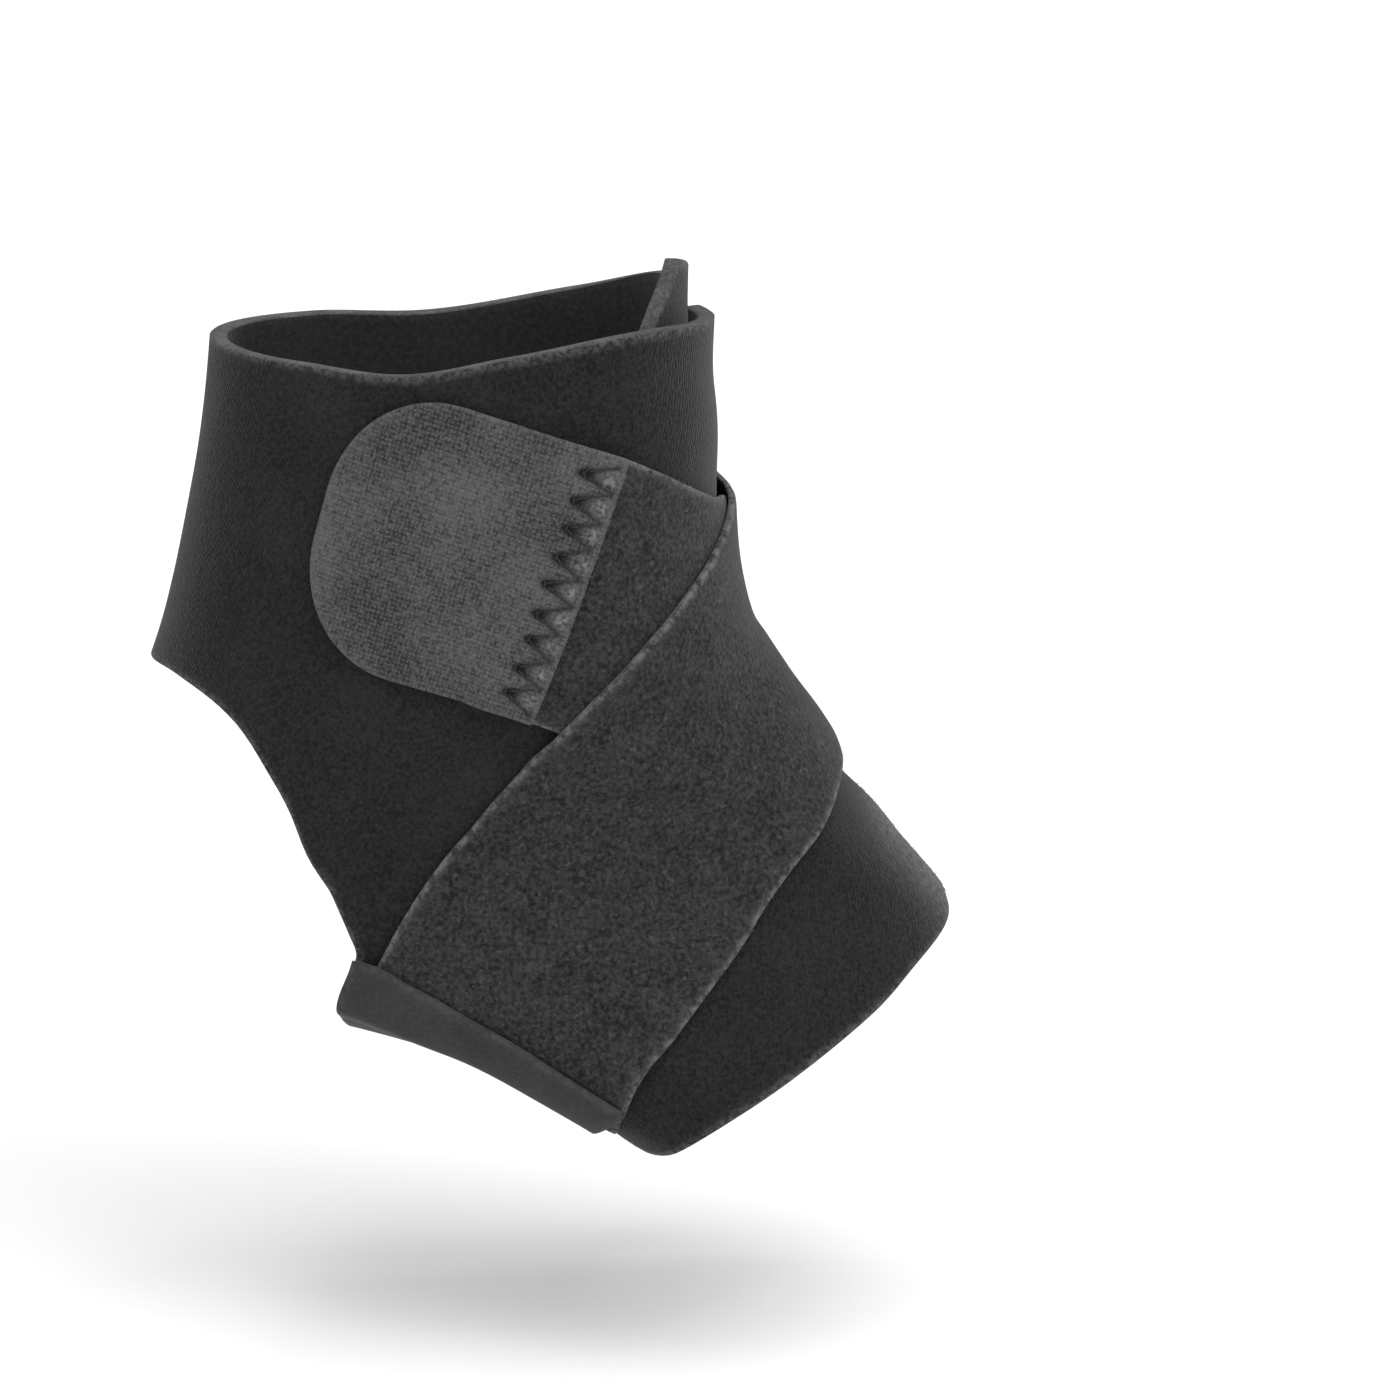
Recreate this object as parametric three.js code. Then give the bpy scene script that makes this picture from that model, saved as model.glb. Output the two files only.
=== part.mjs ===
import * as THREE from 'three';

// Wrap-round ankle brace for a right foot, in the form it has when worn.
// Axes: +X towards the toes, +Z up the leg, -Y the outer side of the ankle. Lengths in mm.

// Overall sizes of the form that the neoprene lies on.
const braceReach = 145;
const braceHeight = 165;
const braceWidth = 80;

// Thickness of the cloths and the air left between two layers.
const neopreneThickness = 3.2;
const strapThickness = 1.6;
const tabThickness = 1.6;
const panelThickness = 1.6;
const layerGap = 0.4;

// Straps and hook tabs.
const strapWidth = 50.8;
const tabLength = 50.4;
const tabCornerRadius = 21;
const hemLength = 9;

// How far the outer wing bells out at the top of its front edge.
const topFlare = 1.5;

// Angle over which the outer wing settles after it has climbed over the edge of the inner one,
// and over which a strap bridges the step down from the outer wing's edge.
const settleAngle = 36;
const bridgeAngle = 42;

// Facets.
const facetLength = 4.8;
const strapColumns = 12;

const degree = Math.PI / 180;

// Cross-sections of the form, from above the top edge down the leg and out to the ball of the foot.
// frontX and backX are shares of braceReach, frontZ and backZ of braceHeight, halfWidth and lean of
// braceWidth. egg makes the front half wider, square flattens the sides, lean moves the front sideways.
const sections = [
  // frontX, frontZ, backX, backZ, halfWidth, egg, square, lean
  [0.269, 0.436, -0.283, 0.418, 0.362, 0.06, 0.02, 0.000],
  [0.268, 0.339, -0.290, 0.321, 0.369, 0.08, 0.02, 0.000],
  [0.281, 0.230, -0.302, 0.230, 0.388, 0.09, 0.02, 0.000],
  [0.280, 0.144, -0.317, 0.145, 0.412, 0.10, 0.02, 0.000],
  [0.287, 0.056, -0.341, 0.048, 0.431, 0.10, 0.02, 0.000],
  [0.306, -0.015, -0.372, -0.048, 0.438, 0.06, 0.02, 0.000],
  [0.333, -0.058, -0.428, -0.170, 0.425, 0.00, 0.02, 0.006],
  [0.361, -0.095, -0.455, -0.297, 0.412, -0.05, 0.03, 0.013],
  [0.392, -0.134, -0.379, -0.388, 0.406, -0.10, 0.04, 0.025],
  [0.423, -0.176, -0.248, -0.397, 0.400, -0.14, 0.05, 0.037],
  [0.460, -0.217, -0.124, -0.415, 0.406, -0.16, 0.06, 0.050],
  [0.497, -0.251, -0.028, -0.438, 0.425, -0.17, 0.06, 0.062],
  [0.533, -0.289, 0.069, -0.475, 0.450, -0.18, 0.06, 0.075],
  [0.569, -0.330, 0.159, -0.516, 0.475, -0.18, 0.06, 0.087],
  [0.604, -0.372, 0.228, -0.558, 0.500, -0.18, 0.06, 0.100],
  [0.659, -0.432, 0.317, -0.604, 0.525, -0.18, 0.06, 0.113],
];

// Places on the form are given as a station (row number of the table above) and an angle in degrees:
// 0 at the front, 90 at the outer side, 180 at the back or the sole, 270 at the inner side.

// Front edge of the outer wing, which ends the wrap on top: station, angle.
const outerWingEdge = [
  [0, -20],
  [8, -22],
  [10, -12],
  [12, -3],
  [14, -2],
];

// Front edge of the inner wing, which ends the wrap beneath, one turn further on: station, angle.
const innerWingEdge = [
  [0, 372],
  [1, 394],
  [2.5, 405],
  [6, 405],
  [10, 394],
  [12, 382],
  [14, 371],
];

// Upper edge of the cuff: angle, station. It rises to a corner at the front of the inner wing.
const topEdge = [
  [-20, 1.02],
  [5, 0.97],
  [40, 0.87],
  [74, 1.02],
  [100, 1.18],
  [127, 1.06],
  [175, 0.98],
  [235, 1.06],
  [262, 1.16],
  [300, 0.92],
  [330, 0.68],
  [352, 0.56],
  [368, 0.34],
  [384, 0.22],
  [410, 0.22],
];

// Edge towards the toes: angle, station. It steps back under the sole.
const toeEdge = [
  [-5, 13.25],
  [12, 13.58],
  [41, 13.72],
  [63, 13.90],
  [102, 14.06],
  [130, 14.08],
  [142, 13.98],
  [151, 13.60],
  [159, 13.25],
  [180, 13.20],
  [201, 13.25],
  [209, 13.60],
  [220, 13.98],
  [258, 14.06],
  [300, 13.88],
  [330, 13.72],
  [372, 13.78],
];

// Rim of the heel opening in equal steps from the middle of the back to its foremost point:
// station on the heel-tendon side, station on the sole side.
const heelRim = [
  [4.95, 10.06],
  [4.95, 9.80],
  [5.35, 9.06],
  [6.30, 8.34],
  [7.35, 7.35],
];
const heelRimHalfAngle = 74.5;

// Half angle of the sole panel either side of the middle of the sole: station, angle.
const panelHalfAngle = [
  [8.3, 67],
  [9.5, 61],
  [11, 55],
  [12.5, 53],
  [13.4, 53],
];
const panelToeStation = 13.05;
const panelHeelInset = -0.03;

// Middle line of a strap, from under the sole over the instep to the end of its hook tab:
// station, angle. The other strap is its mirror image.
const strapLine = [
  [12.5, 178],
  [11.7, 150],
  [11.05, 123],
  [10.04, 97],
  [8.97, 75],
  [7.9, 55.5],
  [7.02, 35],
  [6.2, 14],
  [5.5, -6],
  [4.82, -25],
  [4.2, -44],
  [3.7, -62],
  [3.2, -90],
  [2.83, -115.2],
];

// Smooth value through a table's rows at a fractional row number.
function betweenRows(rows, position) {
  const last = rows.length - 1;
  const clamped = Math.min(Math.max(position, 0), last - 1e-6);
  const index = Math.floor(clamped);
  const t = clamped - index;
  const row = (k) => rows[Math.min(Math.max(k, 0), last)];
  const before = row(index - 1);
  const here = row(index);
  const next = row(index + 1);
  const after = row(index + 2);
  return here.map((value, k) => 0.5 * (
    2 * value
    + (next[k] - before[k]) * t
    + (2 * before[k] - 5 * value + 4 * next[k] - after[k]) * t * t
    + (3 * value - before[k] - 3 * next[k] + after[k]) * t * t * t
  ));
}

// Function through [x, y] rows that never swings past a row's value.
function curveThrough(rows) {
  const rise = (k) => (rows[k + 1][1] - rows[k][1]) / (rows[k + 1][0] - rows[k][0]);
  const slopes = rows.map((_, k) => {
    if (k === 0 || k === rows.length - 1) return 0;
    const left = rise(k - 1);
    const right = rise(k);
    return left * right <= 0 ? 0 : (2 * left * right) / (left + right);
  });
  return (x) => {
    if (x <= rows[0][0]) return rows[0][1];
    const k = rows.findIndex((row, n) => n < rows.length - 1 && x <= rows[n + 1][0]);
    if (k < 0) return rows[rows.length - 1][1];
    const span = rows[k + 1][0] - rows[k][0];
    const t = (x - rows[k][0]) / span;
    const ease = t * t * (3 - 2 * t);
    return rows[k][1] * (1 - ease) + rows[k + 1][1] * ease
      + span * t * (1 - t) * ((1 - t) * slopes[k] - t * slopes[k + 1]);
  };
}

const outerEdgeAngle = curveThrough(outerWingEdge);
const innerEdgeAngle = curveThrough(innerWingEdge);
const topStation = curveThrough(topEdge);
const toeStation = curveThrough(toeEdge);
const panelEdgeAngle = curveThrough(panelHalfAngle);

// 0 before the start of a climb, 1 after its end.
function climb(value) {
  const t = Math.min(Math.max(value, 0), 1);
  return t * t * (3 - 2 * t);
}

// Point of the form itself, before any cloth lies on it.
function formPoint(station, angle) {
  const [frontX, frontZ, backX, backZ, halfWidth, egg, square, lean] = betweenRows(sections, station);
  const turn = angle * degree;
  const forward = (Math.cos(turn) - square * Math.cos(3 * turn)) / (1 - square);
  const aside = (Math.sin(turn) + square * Math.sin(3 * turn)) / (1 - square);
  const x = (frontX + backX) / 2 + ((frontX - backX) / 2) * forward;
  const z = (frontZ + backZ) / 2 + ((frontZ - backZ) / 2) * forward;
  const y = -halfWidth * aside * (1 + egg * forward) + lean * ((1 + forward) / 2) ** 2;
  return new THREE.Vector3(x * braceReach, y * braceWidth, z * braceHeight);
}

function outward(station, angle) {
  const along = formPoint(station + 1e-3, angle).sub(formPoint(station - 1e-3, angle));
  const around = formPoint(station, angle + 0.05).sub(formPoint(station, angle - 0.05));
  return around.cross(along).normalize();
}

// Point at a height over the form.
function lifted(station, angle, height) {
  return formPoint(station, angle).addScaledVector(outward(station, angle), height);
}

const wingLift = neopreneThickness + layerGap;

// Underside of the wrap: the outer wing climbs over the front edge of the inner one.
function wrapUnderside(station, angle) {
  if (angle > 200) return 0;
  const edge = innerEdgeAngle(station) - 360 + 3;
  const over = climb((edge + settleAngle - angle) / settleAngle);
  const bell = climb((1.7 - station) / 0.8) * climb((34 - angle) / 40);
  return wingLift * over + topFlare * bell;
}

// Upper side of whatever part of the wrap lies at a place, angles from -180 to 180,
// eased down past the front edge of the outer wing as a strap bridges it.
function wrapTop(station, angle) {
  const edge = outerEdgeAngle(station) - 2;
  if (angle >= edge) return wrapUnderside(station, angle) + neopreneThickness;
  const past = climb(1 - (edge - angle) / bridgeAngle);
  return neopreneThickness + wrapUnderside(station, edge) * past;
}

// Height of a bed that clears the wrap on both sides of a place as well.
function bed(station, angle) {
  const folded = angle > 180 ? angle - 360 : angle < -180 ? angle + 360 : angle;
  return layerGap + Math.max(...[-6, -3, 0, 3, 6].map((shift) => wrapTop(station, folded + shift)));
}

const strapClimb = strapThickness + 1.4 * layerGap;
const strapLayer = 2 * neopreneThickness + 2 * layerGap + strapThickness / 2;

// Place reached over the form from a start, going straight for a distance measured at the straps' height.
function walk(start, direction, distance) {
  if (Math.abs(distance) < 1e-6) return start;
  const steps = Math.max(1, Math.ceil(Math.abs(distance) / 4));
  const stride = Math.abs(distance) / steps;
  const heading = direction.clone().multiplyScalar(Math.sign(distance));
  let [station, angle] = start;
  for (let step = 0; step < steps; step += 1) {
    const along = lifted(station + 0.01, angle, strapLayer)
      .sub(lifted(station - 0.01, angle, strapLayer)).divideScalar(0.02);
    const around = lifted(station, angle + 0.2, strapLayer)
      .sub(lifted(station, angle - 0.2, strapLayer)).divideScalar(0.4);
    const alongAlong = along.dot(along);
    const alongAround = along.dot(around);
    const aroundAround = around.dot(around);
    const square = alongAlong * aroundAround - alongAround * alongAround;
    const headAlong = heading.dot(along);
    const headAround = heading.dot(around);
    const stationShare = (headAlong * aroundAround - headAround * alongAround) / square;
    const angleShare = (headAround * alongAlong - headAlong * alongAround) / square;
    heading.copy(along.multiplyScalar(stationShare).addScaledVector(around, angleShare));
    const size = heading.length();
    heading.divideScalar(size);
    station += (stationShare / size) * stride;
    angle += (angleShare / size) * stride;
  }
  return [station, angle];
}

// A strap's course. side is 1 for the strap that starts on the outer side, -1 for its mirror image.
function strapCourse(side) {
  const rows = strapLine.map(([station, angle]) => [station, angle * side]);
  const last = rows.length - 1;
  const count = 240;
  const samples = [];
  let length = 0;
  for (let k = 0; k <= count; k += 1) {
    const row = (last * k) / count;
    const [station, angle] = betweenRows(rows, row);
    const point = lifted(station, angle, strapLayer);
    if (k > 0) length += point.distanceTo(samples[k - 1].point);
    samples.push({ row, length, point });
  }
  const rowAt = (distance) => {
    const k = Math.max(1, samples.findIndex((sample) => sample.length >= distance));
    const end = samples[k];
    const start = samples[k - 1];
    return start.row + ((end.row - start.row) * (distance - start.length)) / (end.length - start.length);
  };
  // Place at a distance along the middle line and a distance aside of it, + towards the leg.
  const place = (distance, aside) => {
    const row = rowAt(Math.min(Math.max(distance, 0), length));
    const middle = betweenRows(rows, row);
    const ahead = betweenRows(rows, row + 0.02);
    const behind = betweenRows(rows, row - 0.02);
    const heading = lifted(...ahead, strapLayer).sub(lifted(...behind, strapLayer)).normalize();
    const sideways = outward(...middle).cross(heading).multiplyScalar(-side).normalize();
    return walk(middle, sideways, aside);
  };
  const offset = (point) => Math.min(...samples.map((sample) => sample.point.distanceTo(point)));
  return { length, place, offset };
}

const lateralCourse = strapCourse(1);
const medialCourse = strapCourse(-1);

// How far the lateral strap climbs to pass over the medial one.
function overMedialStrap(station, angle) {
  const away = medialCourse.offset(lifted(station, angle, strapLayer)) - strapWidth / 2;
  return strapClimb * climb((11 - away) / 7.5);
}

// Distance from the middle of the sole, in degrees, at which a strap's lower end is cut.
function strapCut(station) {
  return panelEdgeAngle(station) - 12;
}

// Closed sheet between a low and a high surface over a net of four-cornered cells.
function thickSheet(name, points, cells, material) {
  const count = points.length;
  const upper = points.map((point) => lifted(point.station, point.angle, point.high));
  const lower = points.map((point) => lifted(point.station, point.angle, point.low));
  const indices = [];
  const edges = new Set();
  for (const [a, b, c, d] of cells) {
    const split = upper[a].distanceTo(upper[c]) <= upper[b].distanceTo(upper[d]);
    const halves = split ? [[a, b, c], [a, c, d]] : [[a, b, d], [b, c, d]];
    for (const [p, q, r] of halves) {
      indices.push(p, q, r);
      indices.push(count + p, count + r, count + q);
    }
    for (const [from, to] of [[a, b], [b, c], [c, d], [d, a]]) edges.add(`${from} ${to}`);
  }
  for (const edge of edges) {
    const [from, to] = edge.split(' ').map(Number);
    if (!edges.has(`${to} ${from}`)) {
      indices.push(to, from, count + from);
      indices.push(to, count + from, count + to);
    }
  }
  const corners = [...upper, ...lower];
  let volume = 0;
  for (let k = 0; k < indices.length; k += 3) {
    const [p, q, r] = [corners[indices[k]], corners[indices[k + 1]], corners[indices[k + 2]]];
    volume += p.dot(q.clone().cross(r));
  }
  if (volume < 0) indices.reverse();
  const geometry = new THREE.BufferGeometry();
  geometry.setAttribute('position', new THREE.Float32BufferAttribute(corners.flatMap((c) => c.toArray()), 3));
  geometry.setIndex(indices);
  geometry.computeVertexNormals();
  const mesh = new THREE.Mesh(geometry, material);
  mesh.name = name;
  return mesh;
}

// Net of rows and columns as points and cells.
function net(rowCount, columnCount, pointAt) {
  const points = [];
  const cells = [];
  for (let i = 0; i <= rowCount; i += 1) {
    for (let j = 0; j <= columnCount; j += 1) points.push(pointAt(i, j));
  }
  const at = (i, j) => i * (columnCount + 1) + j;
  for (let i = 0; i < rowCount; i += 1) {
    for (let j = 0; j < columnCount; j += 1) {
      cells.push([at(i, j), at(i, j + 1), at(i + 1, j + 1), at(i + 1, j)]);
    }
  }
  return { points, cells };
}

// The wrap: one sheet wound once round and on, open at the heel.
const wingColumns = 20;
const heelColumns = 14;
const innerColumns = 22;
const cuffRows = 11;
const footRows = 10;

function neopreneWrap(material) {
  const columns = wingColumns + heelColumns + innerColumns;
  const heelStart = 180 - heelRimHalfAngle;
  const heelEnd = 180 + heelRimHalfAngle;
  const angleAt = (column, station) => {
    if (column <= wingColumns) {
      const front = outerEdgeAngle(station);
      return front + ((heelStart - front) * column) / wingColumns;
    }
    if (column <= wingColumns + heelColumns) {
      const share = (column - wingColumns) / heelColumns;
      return 180 + heelRimHalfAngle * Math.sin((2 * share - 1) * 90 * degree);
    }
    const share = (column - wingColumns - heelColumns) / innerColumns;
    return heelEnd + (innerEdgeAngle(station) - heelEnd) * share;
  };
  const rimAt = (column) => {
    const share = Math.abs((2 * (column - wingColumns)) / heelColumns - 1);
    return betweenRows(heelRim, Math.min(share, 1) * (heelRim.length - 1));
  };
  const meeting = heelRim[heelRim.length - 1][0];
  const points = [];
  const cells = [];
  const names = new Map();
  const pointAt = (row, column, part) => {
    const open = column > wingColumns && column < wingColumns + heelColumns;
    const key = `${row} ${column} ${open && row === cuffRows ? part : ''}`;
    if (names.has(key)) return names.get(key);
    const [cuffEnd, footStart] = open ? rimAt(column) : [meeting, meeting];
    let station = 7;
    let angle = 0;
    for (let pass = 0; pass < 6; pass += 1) {
      angle = angleAt(column, station);
      station = part === 'cuff'
        ? topStation(angle) + ((cuffEnd - topStation(angle)) * row) / cuffRows
        : footStart + ((toeStation(angle) - footStart) * (row - cuffRows)) / footRows;
    }
    const low = wrapUnderside(station, angle);
    points.push({ station, angle, low, high: low + neopreneThickness });
    names.set(key, points.length - 1);
    return points.length - 1;
  };
  for (let row = 0; row < cuffRows + footRows; row += 1) {
    const part = row < cuffRows ? 'cuff' : 'foot';
    for (let column = 0; column < columns; column += 1) {
      cells.push([
        pointAt(row, column, part),
        pointAt(row, column + 1, part),
        pointAt(row + 1, column + 1, part),
        pointAt(row + 1, column, part),
      ]);
    }
  }
  return thickSheet('neoprene_wrap', points, cells, material);
}

// The smooth band under the arch. Its long edges lie over the lower ends of the straps.
function solePanel(material) {
  const columnCount = 18;
  const { points, cells } = net(8, columnCount, (row, column) => {
    const across = (2 * column) / columnCount - 1;
    let station = 11;
    let angle = 180;
    for (let pass = 0; pass < 8; pass += 1) {
      const half = panelEdgeAngle(station);
      angle = 180 + half * across;
      const rim = Math.asin(Math.min(Math.abs(angle - 180) / heelRimHalfAngle, 1)) / (90 * degree);
      const heelEnd = betweenRows(heelRim, rim * (heelRim.length - 1))[1] + panelHeelInset;
      station = heelEnd + ((panelToeStation - heelEnd) * row) / 8;
    }
    const over = climb((Math.abs(angle - 180) - strapCut(station) + 12) / 9);
    const low = bed(station, angle) + strapClimb * over;
    return { station, angle, low, high: low + panelThickness };
  });
  return thickSheet('sole_panel', points, cells, material);
}

// Distance along a strap at which its lower end is cut, for a line at a distance aside of the middle.
function startOfLine(course, aside) {
  let near = 0;
  let far = 90;
  for (let pass = 0; pass < 22; pass += 1) {
    const middle = (near + far) / 2;
    const [station, angle] = course.place(middle, aside);
    if (180 - Math.abs(angle) < strapCut(station)) near = middle;
    else far = middle;
  }
  return (near + far) / 2;
}

function strap(name, course, extra, material) {
  const end = course.length - tabLength + hemLength;
  const rowCount = Math.ceil((end - 40) / facetLength);
  const asideAt = (column) => strapWidth * (column / strapColumns - 0.5);
  const starts = Array.from({ length: strapColumns + 1 }, (_, column) => startOfLine(course, asideAt(column)));
  const { points, cells } = net(rowCount, strapColumns, (row, column) => {
    const distance = starts[column] + ((end - starts[column]) * row) / rowCount;
    const [station, angle] = course.place(distance, asideAt(column));
    const low = bed(station, angle) + extra(station, angle);
    return { station, angle, low, high: low + strapThickness };
  });
  return thickSheet(name, points, cells, material);
}

// A hook tab lies over the end of its strap and on the wrap beyond it.
function hookTab(name, course, extra, material) {
  const start = course.length - tabLength;
  const half = strapWidth / 2;
  const columnCount = 12;
  const rowCount = 10;
  const { points, cells } = net(rowCount, columnCount, (row, column) => {
    const aside = half * Math.sin(((2 * column) / columnCount - 1) * 90 * degree);
    const inCorner = Math.max(0, Math.abs(aside) - half + tabCornerRadius) / tabCornerRadius;
    const reach = tabLength - tabCornerRadius * (1 - Math.sqrt(Math.max(0, 1 - inCorner * inCorner)));
    const along = (reach * row) / rowCount;
    const [station, angle] = course.place(start + along, aside);
    const overEnd = strapClimb * climb((hemLength + 9 - along) / 7);
    const low = bed(station, angle) + overEnd + extra(station, angle);
    return { station, angle, low, high: low + tabThickness };
  });
  return thickSheet(name, points, cells, material);
}

function cloth(color) {
  return new THREE.MeshStandardMaterial({ color, roughness: 0.95, metalness: 0, side: THREE.DoubleSide });
}

const flat = () => 0;
const brace = new THREE.Group();
brace.name = 'ankle_brace';
brace.add(neopreneWrap(cloth('#2c2c2d')));
brace.add(solePanel(cloth('#4c4c4e')));
brace.add(strap('medial_strap', medialCourse, flat, cloth('#363637')));
brace.add(hookTab('lateral_hook_tab', medialCourse, flat, cloth('#58585b')));
brace.add(strap('lateral_strap', lateralCourse, overMedialStrap, cloth('#363637')));
brace.add(hookTab('medial_hook_tab', lateralCourse, overMedialStrap, cloth('#58585b')));

export default brace;
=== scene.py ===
import math

import bpy
import numpy as np
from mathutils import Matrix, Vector
from mathutils.kdtree import KDTree


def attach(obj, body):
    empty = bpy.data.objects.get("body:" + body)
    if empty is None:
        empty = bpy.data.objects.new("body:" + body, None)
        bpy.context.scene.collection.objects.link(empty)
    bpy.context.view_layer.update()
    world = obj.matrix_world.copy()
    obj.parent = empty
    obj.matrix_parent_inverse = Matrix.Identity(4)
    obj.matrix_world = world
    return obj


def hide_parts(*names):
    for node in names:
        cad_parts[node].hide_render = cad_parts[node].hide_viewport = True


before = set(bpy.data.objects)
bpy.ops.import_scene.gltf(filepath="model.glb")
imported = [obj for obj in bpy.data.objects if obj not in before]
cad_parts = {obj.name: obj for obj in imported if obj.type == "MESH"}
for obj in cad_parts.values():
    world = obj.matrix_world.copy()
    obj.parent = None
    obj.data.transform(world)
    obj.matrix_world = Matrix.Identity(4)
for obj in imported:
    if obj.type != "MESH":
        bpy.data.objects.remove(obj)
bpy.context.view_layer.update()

# The form that the cloth lies on. Sections run from above the cuff to the ball of the foot: frontX and backX
# are shares of the reach, frontZ and backZ of the height, halfWidth and lean of the width, all in mm.
form = {
    "reach": 145.0,
    "height": 165.0,
    "width": 80.0,
    "sections": [
        # frontX, frontZ, backX, backZ, halfWidth, egg, square, lean
        [0.269, 0.436, -0.283, 0.418, 0.362, 0.06, 0.02, 0.000],
        [0.268, 0.339, -0.290, 0.321, 0.369, 0.08, 0.02, 0.000],
        [0.281, 0.230, -0.302, 0.230, 0.388, 0.09, 0.02, 0.000],
        [0.280, 0.144, -0.317, 0.145, 0.412, 0.10, 0.02, 0.000],
        [0.287, 0.056, -0.341, 0.048, 0.431, 0.10, 0.02, 0.000],
        [0.306, -0.015, -0.372, -0.048, 0.438, 0.06, 0.02, 0.000],
        [0.333, -0.058, -0.428, -0.170, 0.425, 0.00, 0.02, 0.006],
        [0.361, -0.095, -0.455, -0.297, 0.412, -0.05, 0.03, 0.013],
        [0.392, -0.134, -0.379, -0.388, 0.406, -0.10, 0.04, 0.025],
        [0.423, -0.176, -0.248, -0.397, 0.400, -0.14, 0.05, 0.037],
        [0.460, -0.217, -0.124, -0.415, 0.406, -0.16, 0.06, 0.050],
        [0.497, -0.251, -0.028, -0.438, 0.425, -0.17, 0.06, 0.062],
        [0.533, -0.289, 0.069, -0.475, 0.450, -0.18, 0.06, 0.075],
        [0.569, -0.330, 0.159, -0.516, 0.475, -0.18, 0.06, 0.087],
        [0.604, -0.372, 0.228, -0.558, 0.500, -0.18, 0.06, 0.100],
        [0.659, -0.432, 0.317, -0.604, 0.525, -0.18, 0.06, 0.113],
    ],
    "dents": 0.12,  # depth in mm of soft dents that all layers share
}

# Thickness of the cloths in mm, and the air between two layers that are pressed together.
cloth = {"neoprene": 3.2, "strap": 1.5, "tab": 1.4, "panel": 1.5, "gap": 0.3}


# A smooth curve through the rows of a table.
def betweenRows(rows, position):
    table = np.asarray(rows, float)
    last = len(table) - 1
    clamped = np.clip(np.asarray(position, float), 0, last - 1e-6)
    index = np.floor(clamped).astype(int)
    t = (clamped - index)[..., None]
    before, here = table[np.maximum(index - 1, 0)], table[index]
    after, beyond = table[index + 1], table[np.minimum(index + 2, last)]
    bend = 2 * before - 5 * here + 4 * after - beyond
    twist = 3 * here - before - 3 * after + beyond
    return 0.5 * (2 * here + (after - before) * t + bend * t**2 + twist * t**3)


# The same curve with its turns at the rows eased, by a weighted mean over shifts in rows.
easing = ((-0.7, 0.12), (-0.35, 0.22), (0.0, 0.32), (0.35, 0.22), (0.7, 0.12))


def easedRows(rows, position):
    return sum(betweenRows(rows, position + shift) * share for shift, share in easing)


# A curve through rows of two numbers that never swings past them, as a function of the first.
def curveThrough(rows):
    x, y = np.array(rows, float).T
    rise = np.diff(y) / np.diff(x)
    slope = np.zeros(len(x))
    for k in range(1, len(x) - 1):
        if rise[k - 1] * rise[k] > 0:
            slope[k] = 2 * rise[k - 1] * rise[k] / (rise[k - 1] + rise[k])

    def valueAt(at):
        at = np.clip(at, x[0], x[-1])
        k = np.clip(np.searchsorted(x, at) - 1, 0, len(x) - 2)
        span = x[k + 1] - x[k]
        t = (at - x[k]) / span
        ease = t * t * (3 - 2 * t)
        bend = span * t * (1 - t) * ((1 - t) * slope[k] - t * slope[k + 1])
        return y[k] * (1 - ease) + y[k + 1] * ease + bend

    return valueAt


# Eases from 0 to 1.
def climb(value):
    t = np.clip(value, 0, 1)
    return t * t * (3 - 2 * t)


def dot(a, b):
    return (a * b).sum(-1)


def unit(vectors):
    return vectors / np.maximum(np.linalg.norm(vectors, axis=-1, keepdims=True), 1e-9)


# A place on the form: station along it, angle in degrees round it, 0 at the front and 90 at the outer side.
def formPoint(station, angle):
    station, angle = np.broadcast_arrays(np.asarray(station, float), np.asarray(angle, float))
    section = np.moveaxis(betweenRows(form["sections"], station), -1, 0)
    frontX, frontZ, backX, backZ, halfWidth, egg, square, lean = section
    turn = np.radians(angle)
    forward = (np.cos(turn) - square * np.cos(3 * turn)) / (1 - square)
    aside = (np.sin(turn) + square * np.sin(3 * turn)) / (1 - square)
    x = (frontX + backX) / 2 + (frontX - backX) / 2 * forward
    z = (frontZ + backZ) / 2 + (frontZ - backZ) / 2 * forward
    y = -halfWidth * aside * (1 + egg * forward) + lean * ((1 + forward) / 2) ** 2
    return np.stack([x * form["reach"], y * form["width"], z * form["height"]], axis=-1)


# Stations and degrees to each side over which the form's normal is taken, wide enough to be smooth.
normalReach = (0.6, 3)


def outward(station, angle):
    ahead, aside = normalReach
    along = formPoint(station + ahead, angle) - formPoint(station - ahead, angle)
    around = formPoint(station, angle + aside) - formPoint(station, angle - aside)
    return unit(np.cross(around, along))


def lifted(station, angle, height):
    height = np.broadcast_to(np.asarray(height, float), np.shape(station + angle))
    return formPoint(station, angle) + outward(station, angle) * height[..., None]


# Two slow waves that slant across the form.
def softDents(station, angle):
    turn = np.radians(angle)
    wave = np.sin(1.7 * station + 2.0 * np.sin(turn + 0.6)) * np.sin(3 * turn + 0.9 * station)
    wave = wave + 0.6 * np.sin(2.9 * station - 2 * turn + 1.3) * np.cos(5 * turn + 0.4)
    return form["dents"] * wave


def dented(station, angle, height):
    return lifted(station, angle, height + softDents(station, angle))


# The linear color of an sRGB hex code.
def srgb(code):
    channels = [int(code[k : k + 2], 16) / 255 for k in (1, 3, 5)]
    linear = [c / 12.92 if c <= 0.04045 else ((c + 0.055) / 1.055) ** 2.4 for c in channels]
    return (*linear, 1.0)


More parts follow.
